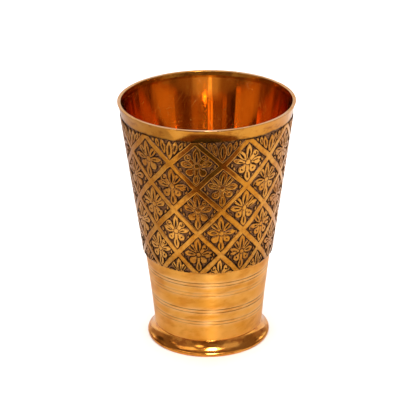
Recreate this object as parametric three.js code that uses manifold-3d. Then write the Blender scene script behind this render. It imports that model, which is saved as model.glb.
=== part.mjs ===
// A tapered brass drinking tumbler. A cast wall is turned smooth inside, at the lip and on the
// lower band, and keeps a raised band of carved diamonds in between. A floor disc is let into its
// lower end, and a flared foot ring is brazed on underneath. Millimetres, +Z up, standing on z = 0.

import * as THREE from "three";
import { mergeVertices } from "three/addons/utils/BufferGeometryUtils.js";
import Module from "manifold-3d";

// Driving dimensions.
const HEIGHT = 122.5;
const RIM_RADIUS = 42.5;
const LIP_WIDTH = 1.55; // flat top of the lip
const FOOT_RADIUS = 30.5;
const FOOT_HEIGHT = 7;
const WAIST_RADIUS = 26.6; // where the wall meets the foot ring
const FLOOR_HEIGHT = 9; // underside of the floor disc
const FLOOR_THICKNESS = 1.6;

// The band of diamonds and the plain bands above and below it.
const BAND_BOTTOM = 45.8;
const BAND_TOP = 116;
const BAND_BOTTOM_RADIUS = 31.95;
const BAND_TOP_RADIUS = 41.45;
const BAND_STEP = 1.1; // how far the band stands out of the plain wall below it
const BAND_EDGE = 0.5; // rounding of its lower edge
const RIM_STEP = 0.4; // how far it stands out of the plain wall above it
const STRAIGHTENS_AT = 14; // below this height the wall is nearly upright
const STRAIGHT_RADIUS = 27;

// The inside of the wall is one cone, with a bevel turned below the lip.
const BEVEL_HEIGHT = 2.2;
const CONE_TOP_RADIUS = 40.45;
const CONE_BOTTOM_RADIUS = 24.4;

// The lattice: diamonds around the band, in staggered rows.
const DIAMONDS_AROUND = 10;
const LATTICE_ROWS = 6; // rows of strap crossings below the top edge
const FIRST_ROW_PITCH = 12.3;
const ROW_SHRINK = 0.1; // each row is this much lower than the one above
const STRAP_SHARE = 0.13; // share of a diamond that its straps take
const RELIEF = 0.7;

// The foot ring, and the brazing metal that holds the pieces together.
const FLARE_START = 1; // how far the cove has opened by half of its height
const FOOT_EDGE = 2; // height of the rounded edge at the ground
const FOOT_EDGE_INSET = 0.75; // how far in the rounded edge has come where the cove begins
const FOOT_SEAT_INSET = 0.5; // the flat underside stops this far inside the rounded edge
const FOOT_SEAT_WIDTH = 3.1;
const FOOT_THICKNESS = 2.2;
const FILLET_LEG = 1.5;
const BEAD_HEIGHT = 2.2;
const JOINT_GAP = 0.05; // brazed faces stay this far apart

const SEGMENTS = 6 * DIAMONDS_AROUND;
const CUTTER_STEPS = 2;
const CURVE_STEPS = 4;

const wasm = await Module();
wasm.setup();

const brass = (name, color, roughness) =>
  new THREE.MeshStandardMaterial({ name, color, roughness, metalness: 1 });
const carvedBrass = brass("carved_brass", 0xc98a35, 0.32);
const polishedBrass = brass("polished_brass", 0xd9953b, 0.15);
const insideBrass = brass("inside_brass", 0xb8692a, 0.25);
const brazingMetal = brass("brazing_metal", 0xa88a5a, 0.5);

const part = new THREE.Group();

function addPiece(name, geometry, material) {
  const mesh = new THREE.Mesh(geometry, material);
  mesh.name = name;
  part.add(mesh);
}

// Turns a closed outline of radius and height about the Z axis.
function turned(outline) {
  return new THREE.LatheGeometry(outline, SEGMENTS).rotateX(Math.PI / 2);
}

function solidFrom(geometry) {
  const bare = geometry.clone();
  bare.deleteAttribute("normal");
  bare.deleteAttribute("uv");
  const merged = mergeVertices(bare, 1e-4);
  return new wasm.Manifold(
    new wasm.Mesh({
      numProp: 3,
      vertProperties: new Float32Array(merged.attributes.position.array),
      triVerts: new Uint32Array(merged.index.array),
    }),
  );
}

function geometryFrom(solid) {
  const mesh = solid.getMesh();
  const geometry = new THREE.BufferGeometry();
  geometry.setAttribute("position", new THREE.BufferAttribute(mesh.vertProperties, 3));
  geometry.setIndex(new THREE.BufferAttribute(mesh.triVerts, 1));
  return geometry;
}

function bandRadius(z) {
  const share = (z - BAND_BOTTOM) / (BAND_TOP - BAND_BOTTOM);
  return THREE.MathUtils.lerp(BAND_BOTTOM_RADIUS, BAND_TOP_RADIUS, share);
}

function insideRadius(z) {
  const top = HEIGHT - BEVEL_HEIGHT;
  const share = (z - FOOT_HEIGHT) / (top - FOOT_HEIGHT);
  return THREE.MathUtils.lerp(CONE_BOTTOM_RADIUS, CONE_TOP_RADIUS, share);
}

// Height of a row of strap crossings. Row 0 is the top edge of the band.
function rowHeight(row) {
  return BAND_TOP + RELIEF / 2 - FIRST_ROW_PITCH * row + (ROW_SHRINK / 2) * row * row;
}

// The wall without its carving, from its lower end up the outside and down the inside.
function plainWall() {
  const outline = new THREE.Path();
  const foot = FOOT_HEIGHT + JOINT_GAP;
  const edgeTop = BAND_BOTTOM + BAND_EDGE;
  outline.moveTo(WAIST_RADIUS, foot);
  outline.lineTo(STRAIGHT_RADIUS, STRAIGHTENS_AT);
  outline.lineTo(BAND_BOTTOM_RADIUS - BAND_STEP, BAND_BOTTOM);
  outline.lineTo(BAND_BOTTOM_RADIUS - BAND_EDGE, BAND_BOTTOM);
  outline.quadraticCurveTo(BAND_BOTTOM_RADIUS, BAND_BOTTOM, bandRadius(edgeTop), edgeTop);
  outline.lineTo(BAND_TOP_RADIUS, BAND_TOP);
  outline.lineTo(BAND_TOP_RADIUS - RIM_STEP, BAND_TOP + RIM_STEP);
  outline.quadraticCurveTo(BAND_TOP_RADIUS, (BAND_TOP + HEIGHT) / 2, RIM_RADIUS, HEIGHT);
  outline.lineTo(RIM_RADIUS - LIP_WIDTH, HEIGHT);
  outline.lineTo(CONE_TOP_RADIUS, HEIGHT - BEVEL_HEIGHT);
  outline.lineTo(insideRadius(foot), foot);
  outline.lineTo(WAIST_RADIUS, foot);
  return solidFrom(turned(outline.getPoints(CURVE_STEPS)));
}

// A block that fills one diamond between its straps, from the carved ground outwards.
function diamondCutter(angle, upper, lower) {
  const cutter = new THREE.BoxGeometry(2, 2, 2, CUTTER_STEPS, CUTTER_STEPS, 1);
  const corners = cutter.attributes.position;
  const halfWidth = (Math.PI / DIAMONDS_AROUND) * (1 - STRAP_SHARE);
  const halfHeight = ((upper - lower) / 2) * (1 - STRAP_SHARE);
  for (let i = 0; i < corners.count; i += 1) {
    const across = (corners.getX(i) - corners.getY(i)) / 2;
    const along = (corners.getX(i) + corners.getY(i)) / 2;
    const turn = angle + across * halfWidth;
    const z = (upper + lower) / 2 + along * halfHeight;
    const radius = bandRadius(z) + RELIEF * (corners.getZ(i) < 0 ? -1 : 1);
    corners.setXYZ(i, radius * Math.cos(turn), radius * Math.sin(turn), z);
  }
  return solidFrom(cutter);
}

// The ring of space that the carving stays in.
function carvedZone() {
  const outline = [
    [CONE_BOTTOM_RADIUS, BAND_BOTTOM + BAND_EDGE],
    [RIM_RADIUS + RELIEF, BAND_BOTTOM + BAND_EDGE],
    [RIM_RADIUS + RELIEF, BAND_TOP - RIM_STEP],
    [CONE_BOTTOM_RADIUS, BAND_TOP - RIM_STEP],
    [CONE_BOTTOM_RADIUS, BAND_BOTTOM + BAND_EDGE],
  ];
  return solidFrom(turned(outline.map(([radius, z]) => new THREE.Vector2(radius, z))));
}

function diamondCutters() {
  const zone = carvedZone();
  const cutters = [];
  for (let row = 0; row <= LATTICE_ROWS; row += 1) {
    const middle = rowHeight(row);
    const pitch = (rowHeight(row - 1) - rowHeight(row + 1)) / 2;
    const stagger = row % 2 === 0 ? 0.5 : 0;
    for (let column = 0; column < DIAMONDS_AROUND; column += 1) {
      const angle = ((column + stagger) * 2 * Math.PI) / DIAMONDS_AROUND;
      cutters.push(diamondCutter(angle, middle + pitch, middle - pitch).intersect(zone));
    }
  }
  return cutters;
}

function wall() {
  const carved = diamondCutters().reduce((solid, cutter) => solid.subtract(cutter), plainWall());
  return geometryFrom(carved);
}

function floorDisc() {
  const radius = insideRadius(FLOOR_HEIGHT) - JOINT_GAP;
  const outline = new THREE.Path();
  outline.moveTo(0, FLOOR_HEIGHT);
  outline.lineTo(radius, FLOOR_HEIGHT);
  outline.lineTo(radius, FLOOR_HEIGHT + FLOOR_THICKNESS);
  outline.lineTo(0, FLOOR_HEIGHT + FLOOR_THICKNESS);
  return turned(outline.getPoints());
}

// Flares out to the ground in a cove and ends in a rounded edge. It is hollow underneath.
function footRing() {
  const edgeEnd = FOOT_RADIUS - FOOT_EDGE_INSET;
  const edgeBend = FOOT_RADIUS + FOOT_EDGE_INSET / 2;
  const seatOuter = FOOT_RADIUS - FOOT_SEAT_INSET;
  const seatInner = seatOuter - FOOT_SEAT_WIDTH;
  const outline = new THREE.Path();
  outline.moveTo(seatInner, 0);
  outline.lineTo(seatOuter, 0);
  outline.quadraticCurveTo(edgeBend, 0.6 * FOOT_EDGE, edgeEnd, FOOT_EDGE);
  outline.quadraticCurveTo(WAIST_RADIUS + FLARE_START, FOOT_HEIGHT / 2, WAIST_RADIUS, FOOT_HEIGHT);
  outline.lineTo(WAIST_RADIUS - FOOT_THICKNESS, FOOT_HEIGHT);
  outline.quadraticCurveTo(WAIST_RADIUS - FOOT_THICKNESS, FOOT_HEIGHT / 2, seatInner, 0);
  return turned(outline.getPoints(CURVE_STEPS));
}

// A fillet of brazing metal in the corner below the floor disc, against the wall.
function floorBraze() {
  const top = FLOOR_HEIGHT - JOINT_GAP;
  const bottom = top - FILLET_LEG;
  const outer = insideRadius(bottom) - JOINT_GAP;
  const outline = new THREE.Path();
  outline.moveTo(outer, bottom);
  outline.lineTo(outer, top);
  outline.lineTo(outer - FILLET_LEG, top);
  outline.quadraticCurveTo(outer - FILLET_LEG / 3, top - FILLET_LEG / 3, outer, bottom);
  return turned(outline.getPoints(CURVE_STEPS));
}

// A low bead of brazing metal inside the foot ring, just below its seam with the wall.
function footBraze() {
  const outer = WAIST_RADIUS - FOOT_THICKNESS - JOINT_GAP;
  const bottom = FOOT_HEIGHT - BEAD_HEIGHT;
  const outline = new THREE.Path();
  outline.moveTo(outer, bottom);
  outline.lineTo(outer, FOOT_HEIGHT);
  outline.quadraticCurveTo(outer - BEAD_HEIGHT / 2, (bottom + FOOT_HEIGHT) / 2, outer, bottom);
  return turned(outline.getPoints(CURVE_STEPS));
}

addPiece("wall", wall(), carvedBrass);
addPiece("floor_disc", floorDisc(), insideBrass);
addPiece("foot_ring", footRing(), polishedBrass);
addPiece("floor_braze", floorBraze(), brazingMetal);
addPiece("foot_braze", footBraze(), brazingMetal);

export default part;
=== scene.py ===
"""The looks of a carved brass tumbler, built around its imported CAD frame.

Lengths in this file are millimetres unless a name says otherwise. Blender gets metres.
"""

import math

import bpy
import numpy as np
from mathutils import Matrix, Vector


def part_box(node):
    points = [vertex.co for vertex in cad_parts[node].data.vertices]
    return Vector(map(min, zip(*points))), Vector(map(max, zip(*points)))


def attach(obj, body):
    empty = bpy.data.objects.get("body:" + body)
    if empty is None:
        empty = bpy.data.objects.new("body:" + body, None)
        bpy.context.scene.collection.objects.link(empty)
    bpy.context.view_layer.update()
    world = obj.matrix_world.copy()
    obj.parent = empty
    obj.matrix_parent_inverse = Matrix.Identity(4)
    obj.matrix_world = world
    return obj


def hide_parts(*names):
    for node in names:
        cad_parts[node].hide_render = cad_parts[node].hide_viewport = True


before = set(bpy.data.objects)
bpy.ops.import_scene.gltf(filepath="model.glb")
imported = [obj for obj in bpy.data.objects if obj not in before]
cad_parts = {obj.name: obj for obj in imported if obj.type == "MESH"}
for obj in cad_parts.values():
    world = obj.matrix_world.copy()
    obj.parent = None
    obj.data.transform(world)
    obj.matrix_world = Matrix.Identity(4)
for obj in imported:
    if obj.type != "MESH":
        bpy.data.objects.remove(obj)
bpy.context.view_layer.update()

MM = 0.001

# Sizes that the frame gives.
WALL_LOW, WALL_HIGH = (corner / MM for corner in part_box("wall"))
_, FOOT_HIGH = (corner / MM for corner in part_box("foot_ring"))
FLOOR_LOW, FLOOR_HIGH = (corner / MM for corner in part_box("floor_disc"))
HEIGHT = WALL_HIGH.z
RIM_RADIUS = WALL_HIGH.x
WALL_FOOT = WALL_LOW.z
FOOT_HEIGHT = FOOT_HIGH.z

# Sizes of the wall's bands.
LIP_WIDTH = 1.55
LIP_EDGE = 0.14  # how far the lip's sharp edges are rounded
BEVEL_HEIGHT = 2.2
CONE_TOP_RADIUS = 40.45  # of the cone inside
CONE_BOTTOM_RADIUS = 24.4
WAIST_RADIUS = 26.6
WAIST_SLOPE = 0.06
STRAIGHTENS_AT = 14.0  # the plain band stands nearly upright below this height
STRAIGHT_RADIUS = 27.0
BAND_BOTTOM = 45.8
BAND_TOP = 116.0
BAND_BOTTOM_RADIUS = 31.95
BAND_TOP_RADIUS = 41.45
BAND_MEAN_RADIUS = (BAND_BOTTOM_RADIUS + BAND_TOP_RADIUS) / 2
BAND_STEP = 1.1  # how far the carved band stands out over the plain one
BAND_EDGE = 0.15
RIM_STEP = 0.4  # how far in and up the lip band starts from the carved one

# Sizes of the foot. Its seat is the flat ring that it stands on.
FOOT_RADIUS = 30.5
FOOT_EDGE_HEIGHT = 2.0
FOOT_EDGE_INSET = 0.75
FOOT_THICKNESS = 2.2
SEAT_INSET = 0.5
SEAT_WIDTH = 3.1

LATHE_RING = 0.03  # how deep the rings turned into the cup's floor are

# The lattice of straps, and how finely the wall's mesh follows it.
DIAMONDS_AROUND = 10
LATTICE_ROWS = 6
FIRST_ROW_PITCH = 12.3
ROW_SHRINK = 0.1
STRAP_HALF_WIDTH = 1.3
HALF_CELL = math.pi / DIAMONDS_AROUND  # half of a diamond's width, as an angle
CELL_SCALE = 11.8  # half of a diamond's width and height, where the motif is drawn
COLUMNS = 960  # points in each row round the wall
ROW_STEP = 0.245  # between the carved band's rows

# How the band is carved: its depths and widths, and the grain and strength of its noises.
RELIEF = 0.7
TOP_WEAR = 0.06
CROWN = 0.05
STRAY_GRAIN = 9
STRAY = 0.2  # how far the carver's lines stray from their plan
STRAY_RADIUS = 36  # near enough the band's radius, to turn a stray into an angle
TREMOR_GRAIN = 1.7
STRAP_TREMOR = 0.06
MOTIF_TREMOR = 0.08
MOTIF_SWELL = 0.16  # how much wider the motifs stand than they are drawn
CLEAR_OF_STRAP = -0.25
PUNCH_SIZE = 0.66
PUNCH_HEIGHT = 0.16
OUTLINE_DEPTH = 0.16
OUTLINE_HALF_WIDTH = 0.26
SLIT_DEPTH = 0.4
FAR_OUTSIDE = -9.0  # a depth inside a shape for points that are nowhere near it
DIRTIER_BELOW = 66
DIRTIEST_BELOW = 48

# The camera: where it stands, how it rolls, its lens, and what it aims at.
CAMERA_TURN = math.radians(-10.4)
CAMERA_RISE_DEGREES = 23.64
CAMERA_DISTANCE = 846.8
CAMERA_ROLL = math.radians(0.49)
CAMERA_LENS_MM = 150.2
SENSOR_MM = 36.0
AIM_HEIGHT = 66.07
AIM_ASIDE = 0.24


# ---------------------------------------------------------------- noise


def ring_noise(turn, height, size, seed, waves=24):
    """Noise, mostly from -1 to 1, that closes on itself around the axis. size is its grain."""
    draw = np.random.default_rng(seed)
    total = np.zeros(np.broadcast(turn, height).shape)
    for _ in range(waves):
        heading = draw.uniform(0, 2 * math.pi)
        pace = 2 * math.pi / (size * draw.uniform(0.8, 2.0))
        per_turn = round(pace * math.cos(heading) * BAND_MEAN_RADIUS)
        per_mm = pace * math.sin(heading)
        total += np.cos(per_turn * turn + per_mm * height + draw.uniform(0, 2 * math.pi))
    return total / math.sqrt(waves * 2)


def smooth(low, high, value):
    """A smooth step from 0 at low to 1 at high. low may be the greater of the two."""
    share = np.clip((value - low) / (high - low), 0, 1)
    return share * share * (3 - 2 * share)


# ---------------------------------------------------------------- the carved motif
# Places are from the middle of a diamond, whose corners are CELL_SCALE away. Each shape gives
# how far inside it a point is, negative outside.


def leaf(x, y, base, angle, length, half_width, fullest=0.55):
    """A pointed leaf from base, leaning by angle degrees from straight up towards +x."""
    lean = math.radians(angle)
    dx, dy = x - base[0], y - base[1]
    along = (dx * math.sin(lean) + dy * math.cos(lean)) / length
    across = np.abs(dx * math.cos(lean) - dy * math.sin(lean))
    t = np.clip(along, 0, 1)
    rise = np.sin(0.5 * math.pi * np.clip(t / fullest, 0, 1)) ** 0.8
    fall = np.cos(0.5 * math.pi * np.clip((t - fullest) / (1 - fullest), 0, 1)) ** 0.8
    width = half_width * rise * fall
    beyond = np.abs(along - t) * length
    return width - np.hypot(across, beyond)


def disc(x, y, centre, radius):
    return radius - np.hypot(x - centre[0], y - centre[1])


def stroke(x, y, start, end, half_width):
    """A straight stroke with round ends."""
    sx, sy = end[0] - start[0], end[1] - start[1]
    t = np.clip(((x - start[0]) * sx + (y - start[1]) * sy) / (sx * sx + sy * sy), 0, 1)
    return half_width - np.hypot(x - start[0] - t * sx, y - start[1] - t * sy)


def hook(x, y, centre, radius, half_width, begin, sweep):
    """Part of a ring, from the angle begin through sweep, in degrees anticlockwise from +x."""
    turn = np.degrees(np.arctan2(y - centre[1], x - centre[0]))
    off = np.abs((turn - begin - sweep / 2 + 180) % 360 - 180) - sweep / 2
    distance = np.hypot(x - centre[0], y - centre[1])
    past_end = np.radians(np.clip(off, 0, 180)) * radius
    return half_width - np.hypot(distance - radius, past_end)


def joined(*shapes):
    return np.max(shapes, axis=0)


def layered(shapes):
    """Shapes laid one on the next, each with a narrow groove round it where it covers another."""
    groove = 0.45
    total = shapes[0]
    for shape in shapes[1:]:
        total = np.maximum(np.minimum(total, -shape - groove), shape)
    return total


def mirrored(draw):
    """The two sides of a motif, each with two numbers from -1 to 1 for the carver's whims."""
    for side in (-1, 1):
        yield side, draw.uniform(-1, 1), draw.uniform(-1, 1)


def flower(x, y, draw):
    """The sprig in a whole diamond: how deep inside its raised shapes, and inside their slits."""
    nod = draw.uniform(-5, 5)
    curled = draw.random() < 0.55
    sides, petals, volutes, slits, marks = [], [], [], [], []
    for side, one, two in mirrored(draw):
        sides.append(side_leaf(x, y, side, one, two, slits))
        petals.append(petal(x, y, side, one, two, slits))
        volutes.append(volute(x, y, side, one, two, curled, slits))
        marks.append(leaf(x, y, (side * 8.0, -0.9), side * 15 * one, 1.8, 0.3))
        marks.append(leaf(x, y, (side * 6.5, -2.9), side * (25 + 12 * two), 1.6, 0.3))
        marks.append(leaf(x, y, (side * 2.5, -7.4), side * (50 + 12 * one), 1.4, 0.26))
        marks.append(leaf(x, y, (side * 2.7, 7.2), side * (40 + 20 * two), 1.3, 0.26))
        marks.append(disc(x, y, (side * (5.2 + 0.3 * two), 4.7), 0.28))
    tip = leaf(x, y, (0.1, -9.9), draw.uniform(-3, 3), 6.6, 1.5, fullest=0.5)
    stem = stroke(x, y, (0, -0.6), (0, -4.6), 0.75)
    bud = leaf(x, y, (0, 1.4), nod, 8.2 + draw.uniform(-0.6, 0.1), 1.5 + draw.uniform(-0.15, 0.15))
    boss = disc(x, y, (0.1, 0.25), 1.15)
    slits.append(leaf(x, y, (0.1, 2.0), nod, 5.0, 0.42, fullest=0.3))
    slits.append(leaf(x, y, (0, -8.2), 0, 3.6, 0.3, fullest=0.4))
    sprig = layered([*sides, *petals, bud, *volutes, joined(tip, stem), boss])
    return joined(sprig, *marks), joined(*slits)


def petal(x, y, side, one, two, slits):
    """A slanting upper petal: a slit leaf, or in some cells a rounder one with a hook cut in it."""
    angle = side * (37 + 5 * one)
    base = (side * 0.9, 1.2)
    if abs(two) > 0.35:
        slits.append(leaf(x, y, (side * 1.9, 2.3), angle, 3.9, 0.36, fullest=0.45 + 0.2 * one))
        return leaf(x, y, base, angle, 6.8 + 0.4 * two, 1.35 + 0.1 * one, fullest=0.64)
    centre = (side * 3.7, 4.1)
    slits.append(hook(x, y, centre, 0.75, 0.22, 200 if side > 0 else 130, 210))
    return joined(disc(x, y, centre, 1.6), stroke(x, y, base, centre, 0.9))


def side_leaf(x, y, side, one, two, slits):
    """A level leaf to one side, plump, forked or with a ragged lower edge."""
    angle = side * (76 + 9 * two)
    base = (side * 0.9, 0.1)
    if one > 0.2:
        slits.append(leaf(x, y, (side * 2.4, 0.4), angle, 2.8, 0.26))
        return leaf(x, y, base, angle, 6.2, 1.4, fullest=0.68)
    if one > -0.4:
        slits.append(leaf(x, y, (side * 2.4, 0.3), angle, 2.6, 0.22))
        return joined(
            leaf(x, y, base, angle, 6.9, 1.15, fullest=0.6),
            leaf(x, y, (side * 3.8, 0.3), side * (50 + 8 * two), 3.0, 0.65),
        )
    slits.append(stroke(x, y, (side * 3.0, 0.5), (side * 5.4, 0.9), 0.14))
    return joined(
        leaf(x, y, base, angle, 6.4, 1.15, fullest=0.6),
        leaf(x, y, (side * 3.4, -0.2), side * (110 + 8 * two), 2.8, 0.7),
        leaf(x, y, (side * 5.0, 0.2), side * 120, 2.0, 0.5),
    )


def volute(x, y, side, one, two, curled, slits):
    """A curl or a round knob below the side leaf, joined to the middle by a short neck."""
    centre = (side * (2.95 + 0.15 * one), -3.1 + 0.25 * two)
    neck = stroke(x, y, (side * 0.9, -0.9), (side * 2.0, -1.9), 0.7)
    if curled:
        begin = 95 if side > 0 else -205
        return joined(hook(x, y, centre, 1.1, 0.6, begin, 290), neck)
    if two > 0.7:
        slits.append(disc(x, y, centre, 0.3))
    return joined(disc(x, y, centre, 1.6 + 0.12 * one), neck)


def sheaf(x, y, draw):
    """The upright leaves in a half diamond at the top edge."""
    nod = draw.uniform(-5, 5)
    slits = [leaf(x, y, (0, -7.6), nod, 5.0, 0.4)]
    leaves = []
    for side, one, two in mirrored(draw):
        lean = side * (10 + 5 * one)
        leaves.append(leaf(x, y, (side * 7.3, -2.2), side * (15 + 8 * one), 2.0, 0.35))
        leaves.append(leaf(x, y, (side * 5.0, -4.4), side * (14 + 8 * two), 4.2, 0.8))
        slits.append(leaf(x, y, (side * 5.2, -3.4), side * (14 + 8 * two), 2.0, 0.2))
        leaves.append(leaf(x, y, (side * 2.4, -6.9), lean, 6.5 + 0.4 * two, 1.15))
        slits.append(leaf(x, y, (side * 2.7, -5.6), lean, 3.6, 0.3))
    leaves.append(leaf(x, y, (0, -9.7), nod, 9.0, 1.6, fullest=0.5))
    return layered(leaves), joined(*slits)


# ---------------------------------------------------------------- the carved band


def band_radius(z):
    share = (z - BAND_BOTTOM) / (BAND_TOP - BAND_BOTTOM)
    return BAND_BOTTOM_RADIUS + share * (BAND_TOP_RADIUS - BAND_BOTTOM_RADIUS)


def row_at(z):
    """Which row of strap crossings a height is in, as a real number. Row 0 is the top edge."""
    drop = BAND_TOP + RELIEF / 2 - z
    return (FIRST_ROW_PITCH - np.sqrt(FIRST_ROW_PITCH**2 - 2 * ROW_SHRINK * drop)) / ROW_SHRINK


def strap_depth(turn, row, z):
    """How far inside a strap a point is."""
    pitch = FIRST_ROW_PITCH - ROW_SHRINK * row
    per_mm = np.hypot(1 / (HALF_CELL * band_radius(z)), 1 / pitch)
    nearest = np.full(np.broadcast(turn, row).shape, np.inf)
    for slope in (1, -1):
        across = turn / HALF_CELL + slope * row
        off = np.abs((across + 1) % 2 - 1)
        nearest = np.minimum(nearest, off / per_mm)
    return STRAP_HALF_WIDTH - nearest


def motif_depth(turn, row):
    """How far inside the raised motifs, and inside their slits, each point of the band is.

    Also how brightly the motif there is rubbed, from 0 to 1.
    """
    raised = np.full(turn.shape, FAR_OUTSIDE)
    slit = np.full(turn.shape, FAR_OUTSIDE)
    bright = np.full(turn.shape, 0.5)
    for cell_row in range(LATTICE_ROWS + 1):
        stagger = 0.5 if cell_row % 2 == 0 else 0.0
        motif = sheaf if cell_row == 0 else flower
        for column in range(DIAMONDS_AROUND):
            draw = np.random.default_rng(1000 + 37 * cell_row + column)  # each cell has its own
            middle = (column + stagger) * 2 * HALF_CELL
            across = (turn - middle + math.pi) % (2 * math.pi) - math.pi
            up = cell_row - row
            near = (np.abs(across) < HALF_CELL) & (np.abs(up) < 1)
            lean, swell = draw.uniform(-0.03, 0.03), draw.uniform(0.95, 1.03)
            x = across[near] / HALF_CELL * CELL_SCALE / swell + draw.uniform(-0.25, 0.25)
            y = up[near] * CELL_SCALE / swell + draw.uniform(-0.25, 0.25)
            x, y = x + lean * y, y - lean * x
            shape, cuts = motif(x, y, draw)
            raised[near] = np.maximum(raised[near], shape)
            slit[near] = np.maximum(slit[near], cuts)
            in_diamond = np.abs(across) / HALF_CELL + np.abs(up) < 1
            bright[in_diamond] = draw.random()
    return raised, slit, bright


def punched(turn, z, size, seed):
    """Small round bumps, as a matting punch leaves them, from 0 to 1."""
    columns = round(2 * math.pi * BAND_MEAN_RADIUS / size)
    column = turn / (2 * math.pi) * columns
    row = z / size
    draw = np.random.default_rng(seed)
    rows = int(np.ceil(row.max())) + 3
    jitter = draw.uniform(0.15, 0.85, (2, rows, columns))
    nearest = np.full(turn.shape, 9.0)
    for step_row in (-1, 0, 1):
        for step_column in (-1, 0, 1):
            i = np.clip(np.floor(row).astype(int) + step_row, 0, rows - 1)
            j = np.floor(column).astype(int) + step_column
            spot = jitter[:, i, j % columns]
            gap = np.hypot(row - i - spot[0], column - j - spot[1])
            nearest = np.minimum(nearest, gap)
    return smooth(0.75, 0.1, nearest)


def carve(turn, z):
    """The band's surface: how far it is cut back, and how low, dirty and bright it is, 0 to 1."""
    hand_turn = turn + STRAY / STRAY_RADIUS * ring_noise(turn, z, STRAY_GRAIN, seed=3)
    row = row_at(z + STRAY * ring_noise(turn, z, STRAY_GRAIN, seed=4))
    tremor = ring_noise(turn, z, TREMOR_GRAIN, seed=5)
    strap = strap_depth(hand_turn, row, z) + STRAP_TREMOR * tremor
    clear = strap < CLEAR_OF_STRAP
    motif, slit, bright = motif_depth(hand_turn, row)
    motif = motif + MOTIF_SWELL + MOTIF_TREMOR * tremor
    bright = np.where(clear, bright, 0.5)
    solid = np.maximum(strap, np.where(clear, motif, FAR_OUTSIDE))

    level = smooth(-0.24, 0.05, solid)
    crown = CROWN * smooth(0.0, 0.6, solid)
    top = -TOP_WEAR + crown + 0.02 * ring_noise(turn, z, 4, seed=8)
    outline = np.exp(-(((solid + 0.2) / OUTLINE_HALF_WIDTH) ** 2))
    stipple = punched(turn, z, PUNCH_SIZE, seed=6)
    ground = -RELIEF + 0.06 * ring_noise(turn, z, 2.5, seed=7)
    ground = ground + PUNCH_HEIGHT * stipple - OUTLINE_DEPTH * outline
    slit_share = smooth(-0.16, 0.1, slit) * smooth(-0.05, 0.15, motif) * (strap < 0)
    cut = level * top + (1 - level) * ground - SLIT_DEPTH * slit_share

    lowness = np.clip(smooth(0.2, -0.12, solid) + slit_share, 0, 1)
    ragged_z = z + 5 * ring_noise(turn, z, 14, seed=9)
    seldom_rubbed = smooth(DIRTIER_BELOW, DIRTIEST_BELOW, ragged_z)
    dirt = (1 - level) * (0.45 - 0.7 * stipple) + 0.85 * outline + slit_share
    dirt = np.clip(dirt + (0.06 + 0.34 * level) * seldom_rubbed, 0, 1)
    return np.minimum(cut, 0), lowness, dirt, bright


# ---------------------------------------------------------------- turned shapes


def lower_radius(z):
    """The plain lower band: a cone that stands nearly upright above the foot."""
    slope = (BAND_BOTTOM_RADIUS - BAND_STEP - STRAIGHT_RADIUS) / (BAND_BOTTOM - STRAIGHTENS_AT)
    cone = STRAIGHT_RADIUS + slope * (z - STRAIGHTENS_AT)
    upright = WAIST_RADIUS + WAIST_SLOPE * (z - FOOT_HEIGHT)
    blend = 0.35
    return blend * np.logaddexp(cone / blend, upright / blend)


def inside_radius(z):
    share = (z - FOOT_HEIGHT) / (HEIGHT - BEVEL_HEIGHT - FOOT_HEIGHT)
    return CONE_BOTTOM_RADIUS + share * (CONE_TOP_RADIUS - CONE_BOTTOM_RADIUS)


# Heights of the lines turned into the lower band, and how deep each one is.
TURNED_LINES = (
    (39.5, 0.13),
    (37.8, 0.13),
    (33.9, 0.07),
    (32.2, 0.08),
    (24.5, 0.12),
    (22.8, 0.12),
    (17.8, 0.1),
    (16.2, 0.09),
)
LINE_HALF_WIDTH = 0.33
DEEP_LINE = 0.12  # a line this deep holds all the dirt that a line can
LINE_HIGHLIGHT_REACH = 1.1  # how far above and below a line a highlight is painted


def lower_band_rows():
    """Heights and radii up the lower band, closer together at the turned lines."""
    z = [WALL_FOOT, WALL_FOOT + 0.12]
    z += list(np.arange(WALL_FOOT + 0.6, BAND_BOTTOM - 0.3, 0.9))
    for middle, _ in TURNED_LINES:
        z += [middle + LINE_HALF_WIDTH * share for share in (-1.6, -1, -0.5, 0, 0.5, 1, 1.6)]
    z += [BAND_BOTTOM - 0.25, BAND_BOTTOM - 0.08]
    z = np.unique(np.round(z, 3))
    radius = lower_radius(z)
    for middle, depth in TURNED_LINES:
        radius = radius - depth * np.clip(1 - np.abs(z - middle) / LINE_HALF_WIDTH, 0, 1)
    # The turning tool was held by hand, so the band waves a little.
    radius = radius + 0.02 * np.sin(z * 1.1) + 0.015 * np.sin(z * 2.3 + 1)
    radius[0] -= 0.15
    return list(zip(radius, z))


def curve(start, bend, end, steps):
    """Points along a quadratic curve, without the first."""
    points = []
    for i in range(1, steps + 1):
        t = i / steps
        points.append(tuple(
            (1 - t) ** 2 * a + 2 * t * (1 - t) * b + t * t * c for a, b, c in zip(start, bend, end)
        ))
    return points


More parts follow.
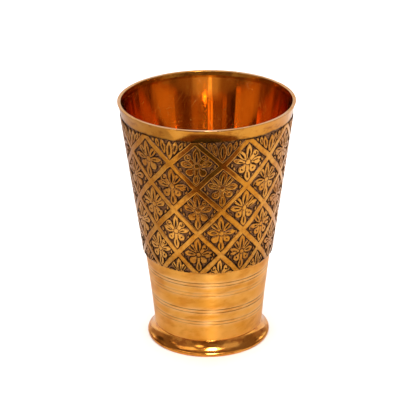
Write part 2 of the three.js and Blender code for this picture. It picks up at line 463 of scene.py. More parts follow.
def rim_rows():
    """From the top of the carved band over the lip and down the bevel inside."""
    foot = (BAND_TOP_RADIUS - RIM_STEP, BAND_TOP + RIM_STEP)
    shoulder = (RIM_RADIUS, HEIGHT - LIP_EDGE)
    rows = [foot] + curve(foot, (BAND_TOP_RADIUS, (BAND_TOP + HEIGHT) / 2), shoulder, 16)
    rows += curve(shoulder, (RIM_RADIUS, HEIGHT), (RIM_RADIUS - LIP_EDGE, HEIGHT), 4)
    inner = RIM_RADIUS - LIP_WIDTH
    rows += [(RIM_RADIUS - LIP_EDGE - 0.1, HEIGHT), (inner + LIP_EDGE + 0.1, HEIGHT)]
    bevel = (CONE_TOP_RADIUS, HEIGHT - BEVEL_HEIGHT)
    start = (inner - 0.07, HEIGHT - LIP_EDGE)
    rows += curve((inner + LIP_EDGE, HEIGHT), (inner, HEIGHT), start, 4)
    near = tuple(0.9 * b + 0.1 * s for b, s in zip(bevel, start))
    rows += curve(start, tuple((a + b) / 2 for a, b in zip(start, near)), near, 4)
    rows += curve(near, bevel, (inside_radius(bevel[1] - 0.3), bevel[1] - 0.3), 4)
    return rows


def inside_rows():
    """Down the cone inside, from the bevel to the wall's foot."""
    z = np.linspace(HEIGHT - BEVEL_HEIGHT - 1.0, WALL_FOOT + 0.2, 40)
    rows = list(zip(inside_radius(z), z))
    return rows + [(inside_radius(WALL_FOOT) + 0.15, WALL_FOOT)]


def turned_faces(rows, columns, closed_loop=True):
    """Quads of a surface of revolution whose rows run in a loop, facing away from its metal."""
    i = np.arange(rows if closed_loop else rows - 1)[:, None]
    j = np.arange(columns)[None, :]
    following, beside = (i + 1) % rows, (j + 1) % columns
    corners = (
        i * columns + j,
        i * columns + beside,
        following * columns + beside,
        following * columns + j,
    )
    return np.stack([np.broadcast_to(c, (len(i), columns)) for c in corners], -1).reshape(-1, 4)


def mesh_object(name, points, *face_groups):
    """A smooth-shaded object from points, and faces in an array for each number of corners."""
    corners = np.concatenate([group.ravel() for group in face_groups])
    sizes = np.concatenate([np.full(len(group), group.shape[1]) for group in face_groups])
    mesh = bpy.data.meshes.new(name)
    mesh.vertices.add(len(points))
    mesh.vertices.foreach_set("co", (np.asarray(points) * MM).astype(np.float32).ravel())
    mesh.loops.add(len(corners))
    mesh.loops.foreach_set("vertex_index", corners.astype(np.int32))
    mesh.polygons.add(len(sizes))
    mesh.polygons.foreach_set("loop_start", (np.cumsum(sizes) - sizes).astype(np.int32))
    mesh.polygons.foreach_set("use_smooth", np.ones(len(sizes), bool))
    mesh.update(calc_edges=True)
    mesh.validate()
    piece = bpy.data.objects.new(name, mesh)
    bpy.context.scene.collection.objects.link(piece)
    return piece


def around(radius, z, turn):
    """Points at a radius, a height and an angle, each of which may be one or many."""
    radius, z, turn = np.broadcast_arrays(radius, z, turn)
    return np.stack([radius * np.cos(turn), radius * np.sin(turn), z], -1).reshape(-1, 3)


def angles(columns):
    return np.arange(columns) * 2 * math.pi / columns


def unroll(piece, radius, z):
    """Lays a turned piece out flat for baking: once round the axis, and once round its section."""
    columns = radius.shape[1]
    section = np.stack([radius.mean(axis=1), z.mean(axis=1)], -1)
    steps = np.linalg.norm(np.roll(section, -1, axis=0) - section, axis=1)
    up = np.concatenate([[0], np.cumsum(steps)]) / steps.sum()
    left, bottom = np.meshgrid(np.arange(columns) / columns, up[:-1])
    right, top = np.meshgrid(np.arange(1, columns + 1) / columns, up[1:])
    corners = np.stack([left, bottom, right, bottom, right, top, left, top], -1)
    layer = piece.data.uv_layers.new(name="OFBake")
    layer.data.foreach_set("uv", corners.astype(np.float32).ravel())


# The wall is built from four parts. Each is a grid of points: the rows of its section, by the
# columns round the axis. Its five layers are the radius, the height and three marks from 0 to 1,
# which the materials read by these names.
MARKS = ("lowness", "dirt", "bright")


def part(radius, z, lowness=0.0, dirt=0.0, bright=0.0):
    """A part's grid, with whatever is the same in every column spread over them all."""
    layers = np.broadcast_arrays(radius, z, lowness, dirt, bright, np.empty(COLUMNS))
    return np.stack(layers[:-1])


def plain_section(rows):
    """The radii and heights of a section, as two columns of a grid."""
    rows = np.array(rows)
    return rows[:, :1], rows[:, 1:]


def at_lines(z, effect):
    """The strongest effect of any turned line at each height. A shallow line has less of it."""
    return np.max([
        effect(z - middle) * min(1, depth / DEEP_LINE) for middle, depth in TURNED_LINES
    ], axis=0)


def line_dirt(gap):
    """Full near the middle of a line, and none 1.3 half widths off."""
    return np.clip(1.3 - np.abs(gap) / LINE_HALF_WIDTH, 0, 1)


# A painted highlight beside a turned line, fading off above and below it.
def line_highlight(gap):
    return np.exp(-((gap / LINE_HIGHLIGHT_REACH) ** 2))


def lower_part():
    """The plain lower band. Its mark for lowness is a painted highlight beside its lines."""
    radius, z = plain_section(lower_band_rows())
    return part(radius, z, at_lines(z, line_highlight), at_lines(z, line_dirt))


def carved_part():
    """The carved band, rounded along its lower edge."""
    z = np.linspace(BAND_BOTTOM + 0.02, BAND_TOP, round((BAND_TOP - BAND_BOTTOM) / ROW_STEP))
    turn, z = np.meshgrid(angles(COLUMNS), z)
    cut, lowness, dirt, bright = carve(turn, z)
    below = np.clip(1 - (z - BAND_BOTTOM) / BAND_EDGE, 0, 1)
    rounding = BAND_EDGE * (1 - np.sqrt(1 - below**2 * 0.98))
    return part(band_radius(z) + cut - rounding, z, lowness, dirt, bright)


def rim_part():
    """The lip band and the bevel inside it, with dirt in the corner where the carving ends."""
    radius, z = plain_section(rim_rows())
    outside = radius > BAND_TOP_RADIUS - 1
    return part(radius, z, dirt=smooth(RIM_STEP + 0.9, RIM_STEP, z - BAND_TOP) * outside)


def inside_part():
    """The inside, with shallow upright waves that reflections show."""
    radius, z = plain_section(inside_rows())
    turn = angles(COLUMNS)
    waves = 0.012 * ring_noise(turn, 0.0, 7, seed=21) + 0.006 * ring_noise(turn, 0.0, 2.2, seed=22)
    return part(radius + smooth(HEIGHT, HEIGHT - 12, z) * waves, z)


def build_wall():
    """The whole wall as one closed surface, with the carving in its mesh."""
    parts = [lower_part(), carved_part(), rim_part(), inside_part()]
    radius, z, *marks = np.concatenate(parts, axis=1)
    points = around(radius, z, angles(COLUMNS))
    wall = mesh_object("tumbler_wall", points, turned_faces(len(z), COLUMNS))
    unroll(wall, radius, z)
    for name, values in zip(MARKS, marks):
        attribute = wall.data.attributes.new(name, "FLOAT", "POINT")
        attribute.data.foreach_set("value", values.astype(np.float32).ravel())

    looks = (lower_satin, carved_brass, rim_polish, inside_polish, lip_worn_and_sheen)
    for look in looks:
        wall.data.materials.append(look())
    rows_in_part = [grid.shape[1] for grid in parts]
    row_look = np.repeat(np.arange(len(parts)), rows_in_part)
    step_up_to_band = rows_in_part[0] - 1
    row_look[step_up_to_band] = looks.index(carved_brass)
    on_lip = np.abs(z[:, 0] - HEIGHT) < 0.1
    row_look[on_lip] = looks.index(lip_worn_and_sheen)
    face_look = np.repeat(row_look, COLUMNS).astype(np.int32)
    wall.data.polygons.foreach_set("material_index", face_look)
    wall.data.update()
    return wall


def build_ring(name, rows, material, columns=256):
    """A closed ring, turned from a section whose last row joins its first."""
    radius, z = plain_section(rows)
    piece = mesh_object(name, around(radius, z, angles(columns)), turned_faces(len(z), columns))
    piece.data.materials.append(material)
    return piece


def build_disc(name, rows, material, columns=256):
    """A turned disc, whose first and last rows are its middles underneath and on top."""
    radius, z = plain_section(rows)
    points = around(radius[1:-1], z[1:-1], angles(columns))
    underneath, on_top = len(points), len(points) + 1
    points = np.concatenate([points, [(0, 0, z[0, 0]), (0, 0, z[-1, 0])]])
    sides = turned_faces(len(z) - 2, columns, closed_loop=False)
    j = np.arange(columns)
    beside = (j + 1) % columns
    last_row = (len(z) - 3) * columns
    under_fan = np.stack([np.full(columns, underneath), beside, j], -1)
    over_fan = np.stack([np.full(columns, on_top), last_row + j, last_row + beside], -1)
    fans = np.stack([under_fan, over_fan], 1).reshape(-1, 3)
    piece = mesh_object(name, points, sides, fans)
    piece.data.materials.append(material)
    return piece


def foot_rows():
    """The flared foot, from its flat underside round the edge, up the cove and down inside."""
    flare = FOOT_RADIUS - FOOT_EDGE_INSET
    seat_outer = FOOT_RADIUS - SEAT_INSET
    seat_inner = seat_outer - SEAT_WIDTH
    rows = [(seat_inner + 0.15, 0), (seat_outer, 0)]
    bulge = (FOOT_RADIUS + FOOT_EDGE_INSET / 2, 0.6 * FOOT_EDGE_HEIGHT)
    rows += curve(rows[-1], bulge, (flare, FOOT_EDGE_HEIGHT), 14)
    seam = (WAIST_RADIUS + 0.03, FOOT_HEIGHT - 0.12)
    rows += curve(rows[-1], (WAIST_RADIUS + 1, FOOT_HEIGHT / 2), seam, 24)
    rows += curve(seam, (WAIST_RADIUS, FOOT_HEIGHT), (WAIST_RADIUS - 0.15, FOOT_HEIGHT), 3)
    inner = WAIST_RADIUS - FOOT_THICKNESS
    rows += [(inner + 0.15, FOOT_HEIGHT)]
    rows += curve(rows[-1], (inner, FOOT_HEIGHT), (inner, FOOT_HEIGHT - 0.15), 3)
    rows += curve(rows[-1], (inner, FOOT_HEIGHT / 2), (seat_inner, 0.15), 12)
    rows += curve(rows[-1], (seat_inner + 0.02, 0), rows[0], 3)[:-1]
    return rows


def floor_rows():
    """The floor disc, with faint rings left by the lathe on both sides."""
    middle, edge = 0.6, FLOOR_HIGH.x
    rows = [(0, FLOOR_LOW.z)]
    for r in np.linspace(middle, edge - 0.4, 40):
        rows.append((r, FLOOR_LOW.z + LATHE_RING * math.sin(r * 2.1) ** 2))
    rows += [(edge - 0.1, FLOOR_LOW.z), (edge, FLOOR_LOW.z + 0.1)]
    rows += [(edge, FLOOR_HIGH.z - 0.1), (edge - 0.1, FLOOR_HIGH.z)]
    for r in np.linspace(edge - 0.4, middle, 40):
        rows.append((r, FLOOR_HIGH.z - LATHE_RING * math.sin(r * 1.7) ** 2))
    return rows + [(0, FLOOR_HIGH.z)]


# ---------------------------------------------------------------- materials


class Tree:
    """Short ways to add shader nodes to a node tree."""

    def __init__(self, tree):
        self.tree = tree

    def add(self, kind, **settings):
        """The new node itself. The methods below that add one give its output instead."""
        node = self.tree.nodes.new(kind)
        for key, value in settings.items():
            setattr(node, key, value)
        return node

    def link(self, source, target):
        self.tree.links.new(source, target)

    def noise(self, vector, scale, detail=3.0, roughness=0.5):
        node = self.add("ShaderNodeTexNoise")
        node.inputs["Scale"].default_value = scale
        node.inputs["Detail"].default_value = detail
        node.inputs["Roughness"].default_value = roughness
        self.link(vector, node.inputs["Vector"])
        return node.outputs["Fac"]

    def ranged(self, value, low, high, to_low=0.0, to_high=1.0):
        """to_low where the value is low, to_high where it is high, and smooth between."""
        node = self.add("ShaderNodeMapRange", interpolation_type="SMOOTHSTEP")
        node.inputs["From Min"].default_value = low
        node.inputs["From Max"].default_value = high
        node.inputs["To Min"].default_value = to_low
        node.inputs["To Max"].default_value = to_high
        self.link(value, node.inputs["Value"])
        return node.outputs["Result"]

    def maths(self, operation, *values):
        node = self.add("ShaderNodeMath", operation=operation)
        for socket, value in zip(node.inputs, values):
            if isinstance(value, (int, float)):
                socket.default_value = value
            else:
                self.link(value, socket)
        return node.outputs["Value"]

    def mix(self, share, first, second):
        """A colour between first and second, each a colour or a socket."""
        node = self.add("ShaderNodeMix", data_type="RGBA")
        self.link(share, node.inputs["Factor"])
        for name, value in (("A", first), ("B", second)):
            socket = next(s for s in node.inputs if s.name == name and s.type == "RGBA")
            if isinstance(value, tuple):
                socket.default_value = (*value, 1)
            else:
                self.link(value, socket)
        return next(s for s in node.outputs if s.type == "RGBA")


class Nodes(Tree):
    """A new material's nodes."""

    def __init__(self, name):
        self.material = bpy.data.materials.new(name)
        self.material.use_nodes = True
        super().__init__(self.material.node_tree)
        self.shader = self.tree.nodes["Principled BSDF"]

    def place(self, scale=(1, 1, 1)):
        """Object coordinates in millimetres, multiplied by scale."""
        coordinates = self.add("ShaderNodeTexCoord")
        mapping = self.add("ShaderNodeMapping")
        mapping.inputs["Scale"].default_value = [s / MM for s in scale]
        self.link(coordinates.outputs["Object"], mapping.inputs["Vector"])
        return mapping.outputs["Vector"]

    def unrolled(self, radius):
        """The wall unrolled flat, in millimetres."""
        spot = self.add("ShaderNodeSeparateXYZ")
        self.link(self.place(), spot.inputs["Vector"])
        turn = self.maths("ARCTAN2", spot.outputs["Y"], spot.outputs["X"])
        flat = self.add("ShaderNodeCombineXYZ")
        self.link(self.maths("MULTIPLY", turn, radius), flat.inputs["X"])
        self.link(spot.outputs["Z"], flat.inputs["Y"])
        return flat.outputs["Vector"]

    def leaned(self, place, degrees, grain):
        """A place turned by some degrees in its plane and divided by the size of the grain."""
        mapping = self.add("ShaderNodeMapping", vector_type="TEXTURE")
        mapping.inputs["Rotation"].default_value = (0, 0, math.radians(degrees))
        mapping.inputs["Scale"].default_value = grain
        self.link(place, mapping.inputs["Vector"])
        return mapping.outputs["Vector"]

    def bump(self, height, strength, distance):
        node = self.add("ShaderNodeBump")
        node.inputs["Strength"].default_value = strength
        node.inputs["Distance"].default_value = distance * MM
        self.link(height, node.inputs["Height"])
        return node.outputs["Normal"]

    def metal(self, anisotropy=0.0):
        """Bare metal. Turned metal spreads a highlight across its rings, up and down."""
        self.shader.inputs["Metallic"].default_value = 1.0
        if anisotropy:
            self.shader.inputs["Anisotropic"].default_value = anisotropy
            self.shader.inputs["Anisotropic Rotation"].default_value = 0.25
            tangent = self.add("ShaderNodeTangent", direction_type="RADIAL", axis="Z")
            self.link(tangent.outputs["Tangent"], self.shader.inputs["Tangent"])

    def attribute(self, name):
        return self.add("ShaderNodeAttribute", attribute_name=name).outputs["Fac"]


# Colours, as linear red, green and blue.
GOLD = (0.60, 0.235, 0.026)
PALE_GOLD = (0.67, 0.30, 0.045)
SATIN_GOLD = (0.86, 0.37, 0.045)
SATIN_PALE = (0.94, 0.46, 0.09)
SATIN_BROWN = (0.70, 0.245, 0.02)
# Painted highlight beside the lower band's turned lines.
SATIN_HIGHLIGHT = (1.0, 0.6, 0.24)
LINE_BROWN = (0.27, 0.09, 0.006)
FOOT_GOLD = (0.83, 0.33, 0.05)
FOOT_PALE = (0.92, 0.43, 0.09)
FOOT_STAIN = (0.48, 0.125, 0.02)
# Painted sheen: the lip's pale tint stands in for the bright room that it reflects.
LIP_SHEEN = (0.74, 0.42, 0.2)
INSIDE_GOLD = (0.77, 0.41, 0.105)
INSIDE_PALE = (0.82, 0.45, 0.13)
FLOOR_STAIN = (0.44, 0.19, 0.05)
SCRATCH = (0.95, 0.7, 0.45)
STRAP_GOLD = (0.60, 0.232, 0.02)
STRAP_PALE = (0.70, 0.32, 0.052)
PETAL_PALE = (0.86, 0.41, 0.08)
TARNISH = (0.36, 0.115, 0.014)
PATINA = (0.038, 0.0175, 0.008)
GROUND = (0.16, 0.07, 0.03)
GROUND_LIGHT = (0.38, 0.18, 0.073)
BRAZE_GOLD = (0.45, 0.3, 0.13)
BRAZE_PALE = (0.6, 0.42, 0.2)
PAPER = (0.9, 0.895, 0.89)
PAPER_SHADE = (0.86, 0.855, 0.85)


def turned_brass(name, colours, grain, roughness, bump, anisotropy=0.0):
    """Lathe-turned brass, with clouds of colour and fine rings drawn out around the axis.

    Returns its nodes, its colour and its roughness.
    """
    nodes = Nodes(name)
    nodes.metal(anisotropy)
    cloud = nodes.ranged(nodes.noise(nodes.place(), 0.09), 0.35, 0.7)
    colour = nodes.mix(cloud, *colours)
    nodes.link(colour, nodes.shader.inputs["Base Color"])
    rings = nodes.noise(nodes.place((0.03, 0.03, 1)), 1 / grain, detail=4)
    rough = nodes.ranged(rings, 0.3, 0.7, *roughness)
    nodes.link(rough, nodes.shader.inputs["Roughness"])
    nodes.link(nodes.bump(rings, bump, 0.03), nodes.shader.inputs["Normal"])
    return nodes, colour, rough


def lower_satin():
    """Satin brass, unevenly rubbed, with a painted highlight beside the turned lines and dirt left
    here and there in them.
    """
    nodes, colour, _ = turned_brass(
        "lower_satin", (SATIN_GOLD, SATIN_PALE), 0.9, (0.36, 0.42), 0.15, anisotropy=0.9
    )
    # The band's two halves mirror each other, so that no smear breaks off where they join.
    mirrored_halves = nodes.add("ShaderNodeVectorMath", operation="ABSOLUTE")
    nodes.link(nodes.unrolled(STRAIGHT_RADIUS), mirrored_halves.inputs[0])
    drawn_out = nodes.leaned(mirrored_halves.outputs["Vector"], -14, (-7, 3, 1))
    smear = nodes.noise(drawn_out, 0.6, detail=5, roughness=0.6)
    colour = nodes.mix(nodes.ranged(smear, 0.46, 0.68, 0, 0.7), colour, SATIN_BROWN)
    # Painted highlight beside the turned lines, weaker where the smears lie.
    highlight_beside_lines = nodes.attribute("lowness")
    painted_highlight = nodes.maths("MULTIPLY", highlight_beside_lines, nodes.ranged(smear, 0.3, 0.6, 1, 0.3))
    colour = nodes.mix(painted_highlight, colour, SATIN_HIGHLIGHT)
    kept = nodes.ranged(nodes.noise(nodes.place(), 0.12), 0.35, 0.65, 0.45, 0.9)
    line = nodes.maths("MULTIPLY", nodes.ranged(nodes.attribute("dirt"), 0.1, 1), kept)
    nodes.link(nodes.mix(line, colour, LINE_BROWN), nodes.shader.inputs["Base Color"])
    return nodes.material


def rim_polish():
    """Polished brass, tarnished in patches, with dirt in the corner under it."""
    nodes, colour, _ = turned_brass("rim_polish", (GOLD, PALE_GOLD), 0.5, (0.08, 0.14), 0.05)
    stain = nodes.noise(nodes.place((1, 1, 1.6)), 0.2, detail=5, roughness=0.6)
    stained = nodes.mix(nodes.ranged(stain, 0.49, 0.68, 0, 0.85), colour, TARNISH)
    grimy = nodes.maths("MULTIPLY", nodes.attribute("dirt"), nodes.ranged(stain, 0.35, 0.6, 0.3, 1))
    nodes.link(nodes.mix(grimy, stained, PATINA), nodes.shader.inputs["Base Color"])
    return nodes.material


def hairlines(nodes, place, *leans):
    """Fine long scratches that lean by some degrees: where drawn-out noise crosses its middle."""
    lines = 0.0
    for lean in leans:
        drawn = nodes.noise(nodes.leaned(place, lean, (1.6, 22, 1)), 1.0, detail=1)
        middle = nodes.maths("ABSOLUTE", nodes.maths("SUBTRACT", drawn, 0.5))
        lines = nodes.maths("MAXIMUM", nodes.ranged(middle, 0.0, 0.01, 1, 0), lines)
    return lines


def scratched(nodes, lines, colour, rough):
    """Makes hairlines paler and rougher than the metal round them, and fades them in places."""
    worn = nodes.ranged(nodes.noise(nodes.place(), 0.05), 0.4, 0.6, 0.1, 1)
    scratch = nodes.maths("MULTIPLY", lines, worn)
    nodes.link(nodes.maths("MULTIPLY_ADD", scratch, 0.2, rough), nodes.shader.inputs["Roughness"])
    pale = nodes.mix(nodes.maths("MULTIPLY", scratch, 0.5), colour, SCRATCH)
    nodes.link(pale, nodes.shader.inputs["Base Color"])


def inside_polish():
    """Polished brass with the fine scratches that washing leaves."""
    nodes, colour, rough = turned_brass(
        "inside_polish", (INSIDE_GOLD, INSIDE_PALE), 0.7, (0.05, 0.09), 0.03, anisotropy=0.3
    )
    scratched(nodes, hairlines(nodes, nodes.unrolled(CONE_TOP_RADIUS), 38, -24), colour, rough)
    return nodes.material


def floor_polish():
    """The cup's floor: rings left by the lathe, stained by drink and scratched every way."""
    nodes = Nodes("floor_polish")
    nodes.metal()
    radius = nodes.add("ShaderNodeVectorMath", operation="LENGTH")
    nodes.link(nodes.place((1, 1, 0)), radius.inputs["Vector"])
    rings = nodes.noise(radius.outputs["Value"], 0.7, detail=4)
    stain = nodes.noise(nodes.place(), 0.12, detail=5, roughness=0.6)
    colour = nodes.mix(nodes.ranged(rings, 0.4, 0.65), INSIDE_GOLD, INSIDE_PALE)
    colour = nodes.mix(nodes.ranged(stain, 0.42, 0.66, 0, 0.8), colour, FLOOR_STAIN)
    rough = nodes.ranged(stain, 0.35, 0.65, 0.16, 0.32)
    nodes.link(nodes.bump(rings, 0.3, 0.1), nodes.shader.inputs["Normal"])
    scratched(nodes, hairlines(nodes, nodes.place(), 12, 75, -40), colour, rough)
    return nodes.material


def lip_worn_and_sheen():
    """The lip's flat top, made dull by use, with a painted sheen that pales its colour."""
    return turned_brass("lip_worn_and_sheen", (LIP_SHEEN, PALE_GOLD), 0.4, (0.2, 0.3), 0.06)[0].material


def foot_polish():
    """Polished brass with red-brown stains."""
    nodes, colour, _ = turned_brass("foot_polish", (FOOT_GOLD, FOOT_PALE), 0.5, (0.09, 0.16), 0.06)
    stain = nodes.noise(nodes.place((1, 1, 2)), 0.16, detail=6, roughness=0.65)
    stained = nodes.mix(nodes.ranged(stain, 0.5, 0.62, 0, 0.65), colour, FOOT_STAIN)
    nodes.link(stained, nodes.shader.inputs["Base Color"])
    return nodes.material


def carved_brass():
    """Bright on the rubbed tops, brown in the ground and dark along the outlines."""
    nodes = Nodes("carved_brass")
    nodes.metal()
    grain = nodes.noise(nodes.place(), 1.8, detail=4)
    cloud = nodes.noise(nodes.place(), 0.12, detail=3)
    stain = nodes.noise(nodes.place(), 0.5)
    ragged = nodes.ranged(grain, 0.3, 0.7, -0.1, 0.1)
    low = nodes.ranged(nodes.maths("ADD", nodes.attribute("lowness"), ragged), 0.12, 0.42)
    dark = nodes.ranged(nodes.maths("ADD", nodes.attribute("dirt"), ragged), 0.2, 0.85)
    tops = nodes.mix(nodes.ranged(cloud, 0.35, 0.68), STRAP_GOLD, STRAP_PALE)
    tops = nodes.mix(nodes.ranged(stain, 0.42, 0.72, 0, 0.6), tops, TARNISH)
    bright = nodes.attribute("bright")
    tops = nodes.mix(nodes.ranged(bright, 0.55, 1, 0, 0.65), tops, PETAL_PALE)
    tops = nodes.mix(nodes.ranged(bright, 0.45, 0, 0, 0.4), tops, TARNISH)
    ground = nodes.mix(nodes.ranged(grain, 0.35, 0.7), GROUND, GROUND_LIGHT)
    colour = nodes.mix(dark, nodes.mix(low, tops, ground), PATINA)
    nodes.link(colour, nodes.shader.inputs["Base Color"])
    rough = nodes.ranged(nodes.attribute("lowness"), 0.0, 0.06, 0.18, 0.5)
    nodes.link(rough, nodes.shader.inputs["Roughness"])
    height = nodes.maths(
        "MULTIPLY", nodes.noise(nodes.place(), 2.8, detail=4), nodes.ranged(low, 0, 1, 0.1, 1)
    )
    nodes.link(nodes.bump(height, 0.5, 0.2), nodes.shader.inputs["Normal"])
    return nodes.material


def brazing_metal():
    """Pale filler metal, lumpy and dull."""
    nodes = Nodes("brazing_metal")
    nodes.metal()
    lumps = nodes.noise(nodes.place(), 0.8, detail=4)
    colour = nodes.mix(nodes.ranged(lumps, 0.35, 0.7), BRAZE_GOLD, BRAZE_PALE)
    nodes.link(colour, nodes.shader.inputs["Base Color"])
    nodes.link(nodes.ranged(lumps, 0.3, 0.7, 0.35, 0.6), nodes.shader.inputs["Roughness"])
    nodes.link(nodes.bump(lumps, 0.4, 0.3), nodes.shader.inputs["Normal"])
    return nodes.material


# ---------------------------------------------------------------- stage, light and camera


def from_front(turn, rise, distance):
    """A point around the axis: turn is to the camera's right, in degrees, as rise is upwards."""
    heading = CAMERA_TURN - math.pi / 2 + math.radians(turn)
    level = math.cos(math.radians(rise)) * distance
    return Vector((
        level * math.cos(heading),
        level * math.sin(heading),
        math.sin(math.radians(rise)) * distance,
    )) * MM


def add_light(name, turn, rise, distance, width, height, watts):
    """A rectangular lamp that shines at the tumbler's middle. turn and rise are as in from_front."""
    data = bpy.data.lights.new(name, "AREA")
    data.shape = "RECTANGLE"
    data.size, data.size_y = width * MM, height * MM
    data.energy = watts
    lamp = bpy.data.objects.new(name, data)
    bpy.context.scene.collection.objects.link(lamp)
    middle = Vector((0, 0, AIM_HEIGHT * MM))
    lamp.location = from_front(turn, rise, distance) + middle
    lamp.rotation_euler = (middle - lamp.location).to_track_quat("-Z", "Y").to_euler()
    return lamp


def build_floor():
    size = 3000
    corners = [(-size, -size, 0), (size, -size, 0), (size, size, 0), (-size, size, 0)]
    floor = mesh_object("floor", np.array(corners, float), np.array([[0, 1, 2, 3]]))
    nodes = Nodes("floor_paper")
    speck = nodes.noise(nodes.place(), 0.02)
    nodes.link(nodes.mix(speck, PAPER_SHADE, PAPER), nodes.shader.inputs["Base Color"])
    nodes.shader.inputs["Roughness"].default_value = 0.9
    floor.data.materials.append(nodes.material)


# Cards on the floor that only reflections see: how high each lies, its colour, and its corners,
# as how far right of the axis and how far in front of it they are, as the camera sees them.
FAR = 1500
CARDS = {
    "sheet_card": (0.5, (0.68, 0.67, 0.66), [(-FAR, FAR), (FAR, FAR), (FAR, -FAR), (-FAR, -FAR)]),
    "shaded_card": (1.0, (0.40, 0.385, 0.4), [
        (-FAR, 130), (-120, 130), (-92, 0), (-78, -45), (-78, -400), (-FAR, -400),
    ]),
    "brown_card": (1.5, (0.14, 0.058, 0.024), [
        (-400, 1000), (400, 1000), (150, 150), (98, 120), (70, 127), (-60, 127), (-125, 144),
    ]),
    "dark_card": (2.0, (0.03, 0.026, 0.016), [
        (-170, 800), (240, 800), (72, 180), (48, 150), (-38, 150), (-72, 182),
    ]),
}


def build_card(name, lift, colour, corners):
    points = []
    for right, front in corners:
        points.append((
            right * math.cos(CAMERA_TURN) + front * math.sin(CAMERA_TURN),
            right * math.sin(CAMERA_TURN) - front * math.cos(CAMERA_TURN),
            lift,
        ))
    card = mesh_object(name, np.array(points), np.array([range(len(points))]))
    nodes = Nodes(name)
    speck = nodes.noise(nodes.place(), 0.01)
    darker = tuple(0.8 * channel for channel in colour)
    nodes.link(nodes.mix(speck, darker, colour), nodes.shader.inputs["Base Color"])
    nodes.shader.inputs["Roughness"].default_value = 1.0
    card.data.materials.append(nodes.material)
    card.visible_camera = False
    card.visible_diffuse = False
    card.visible_shadow = False


# Things in the room that only show inside the cup: which way, how high and how wide, in
# degrees, and their colour. Turn 0 is in front and 180 behind.
SPOTS = (
    (170, 13, 4, (2.6, 2.3, 2.0)),
    (-19, 29, 8, (3.0, 2.8, 2.6)),
    (-76, 28, 4, (1.5, 1.2, 1.0)),
    (-111, 24, 11, (0.07, 0.045, 0.03)),
    (128, 31, 5, (2.6, 2.2, 1.8)),
    (-136, 31, 6, (3.4, 2.9, 2.4)),
)
ROOM_WHITE = (1, 0.99, 0.98, 1)
ROOM_DARK = (0.22, 0.15, 0.11, 1)
ROOM_DIM = (0.42, 0.33, 0.27, 1)
ROOM_LOW = (0.36, 0.24, 0.18)
ROOM_LOW_BEHIND = (0.85, 0.75, 0.75)
# The room's tones from straight behind, 0, to straight in front, 1.
ROOM_TONES = (
    (0.0, ROOM_WHITE),
    (0.21, ROOM_WHITE),
    (0.29, ROOM_DARK),
    (0.58, ROOM_DARK),
    (0.68, ROOM_DIM),
    (0.88, ROOM_DIM),
    (0.93, ROOM_DARK),
    (1.0, ROOM_DARK),
)


def build_world():
    """A room that is bright high up behind the tumbler, dark at its sides and dim in front.

    The tone follows how far a direction leans to the front, made ragged by some noise.
    """
    world = bpy.data.worlds.new("room")
    bpy.context.scene.world = world
    world.use_nodes = True
    room = Tree(world.node_tree)
    direction = room.add("ShaderNodeTexCoord").outputs["Generated"]

    def towards(turn, rise):
        """How squarely a direction faces a heading, from 1 to -1."""
        node = room.add("ShaderNodeVectorMath", operation="DOT_PRODUCT")
        node.inputs[1].default_value = from_front(turn, rise, 1).normalized()
        room.link(direction, node.inputs[0])
        return node.outputs["Value"]

    facing = towards(0, 0)
    ragged = room.maths("ADD", facing, room.noise(direction, 6.0, detail=4))
    ramp = room.add("ShaderNodeValToRGB")
    stops = ramp.color_ramp.elements
    for _ in ROOM_TONES[2:]:
        stops.new(0.5)
    for stop, (place, tone) in zip(stops, ROOM_TONES):
        stop.position = place
        stop.color = tone
    room.link(room.maths("MULTIPLY_ADD", ragged, 0.5, 0.25), ramp.inputs["Fac"])

    height = room.add("ShaderNodeSeparateXYZ")
    room.link(direction, height.inputs["Vector"])
    low_down = room.ranged(height.outputs["Z"], 0.28, 0.36, 1, 0)
    behind = room.ranged(facing, -0.35, -0.05, 1, 0)
    low_behind = room.maths("MULTIPLY", low_down, behind)
    low_colour = room.mix(room.ranged(facing, -0.92, -0.7, 1, 0), ROOM_LOW, ROOM_LOW_BEHIND)
    colour = room.mix(low_behind, ramp.outputs["Color"], low_colour)
    for turn, rise, width, tone in SPOTS:
        near, far = math.cos(math.radians(width / 2)), math.cos(math.radians(width))
        colour = room.mix(room.ranged(towards(turn, rise), far, near), colour, tone)
    background = room.tree.nodes["Background"]
    room.link(colour, background.inputs["Color"])
    background.inputs["Strength"].default_value = 0.95


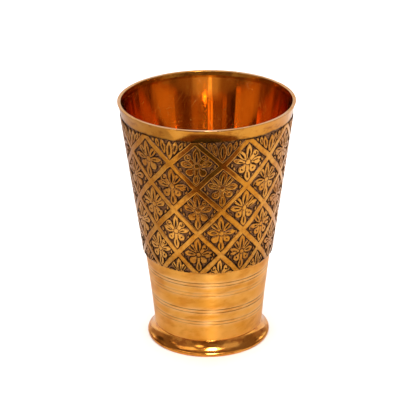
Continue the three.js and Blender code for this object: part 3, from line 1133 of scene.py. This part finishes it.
def build_camera():
    data = bpy.data.cameras.new("camera")
    data.lens = CAMERA_LENS_MM
    data.sensor_width = SENSOR_MM
    data.clip_end = 20  # metres
    camera = bpy.data.objects.new("camera", data)
    bpy.context.scene.collection.objects.link(camera)
    right = Vector((math.cos(CAMERA_TURN), math.sin(CAMERA_TURN), 0))
    aim = (Vector((0, 0, AIM_HEIGHT)) + AIM_ASIDE * right) * MM
    camera.location = from_front(0, CAMERA_RISE_DEGREES, CAMERA_DISTANCE) + aim
    look = (aim - camera.location).to_track_quat("-Z", "Y").to_matrix()
    camera.rotation_euler = (look @ Matrix.Rotation(-CAMERA_ROLL, 3, "Z")).to_euler()
    bpy.context.scene.camera = camera


# Lamps that only show as highlights: which way and how high they stand, in degrees, how wide
# and how tall they are, and their watts.
LAMPS = (
    ("key", 7, 46, 260, 380, 11.0),
    ("left", -52, 46, 640, 400, 0.75),
    ("right", 24, 46, 260, 240, 0.5),
    ("fill", 48, 30, 650, 500, 0.25),
)
LAMP_DISTANCE = 1100


def build_lights():
    for name, turn, rise, width, height, watts in LAMPS:
        lamp = add_light(name, turn, rise, LAMP_DISTANCE, width, height, watts)
        lamp.visible_diffuse = False
    # This one lights the whole scene softly, and no reflection shows it.
    overhead = add_light("overhead", 0, 89, 1600, 2400, 2400, 66.0)
    overhead.visible_glossy = False


# ---------------------------------------------------------------- assembly


def main():
    wall = build_wall()
    foot = build_ring("foot_flare", foot_rows(), foot_polish())
    floor = build_disc("cup_floor", floor_rows(), floor_polish())
    for piece, node, slot in (
        (wall, "wall", "carved_brass"),
        (foot, "foot_ring", "polished_brass"),
        (floor, "floor_disc", "inside_brass"),
    ):
        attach(piece, "root")
        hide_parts(node)
    filler = brazing_metal()
    for node in ("floor_braze", "foot_braze"):
        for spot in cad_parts[node].material_slots:
            spot.material = filler
    build_floor()
    for name, (lift, colour, corners) in CARDS.items():
        build_card(name, lift, colour, corners)
    build_world()
    build_lights()
    build_camera()
    bpy.context.scene.view_settings.view_transform = "Standard"
    bpy.context.scene.cycles.glossy_bounces = 8


main()
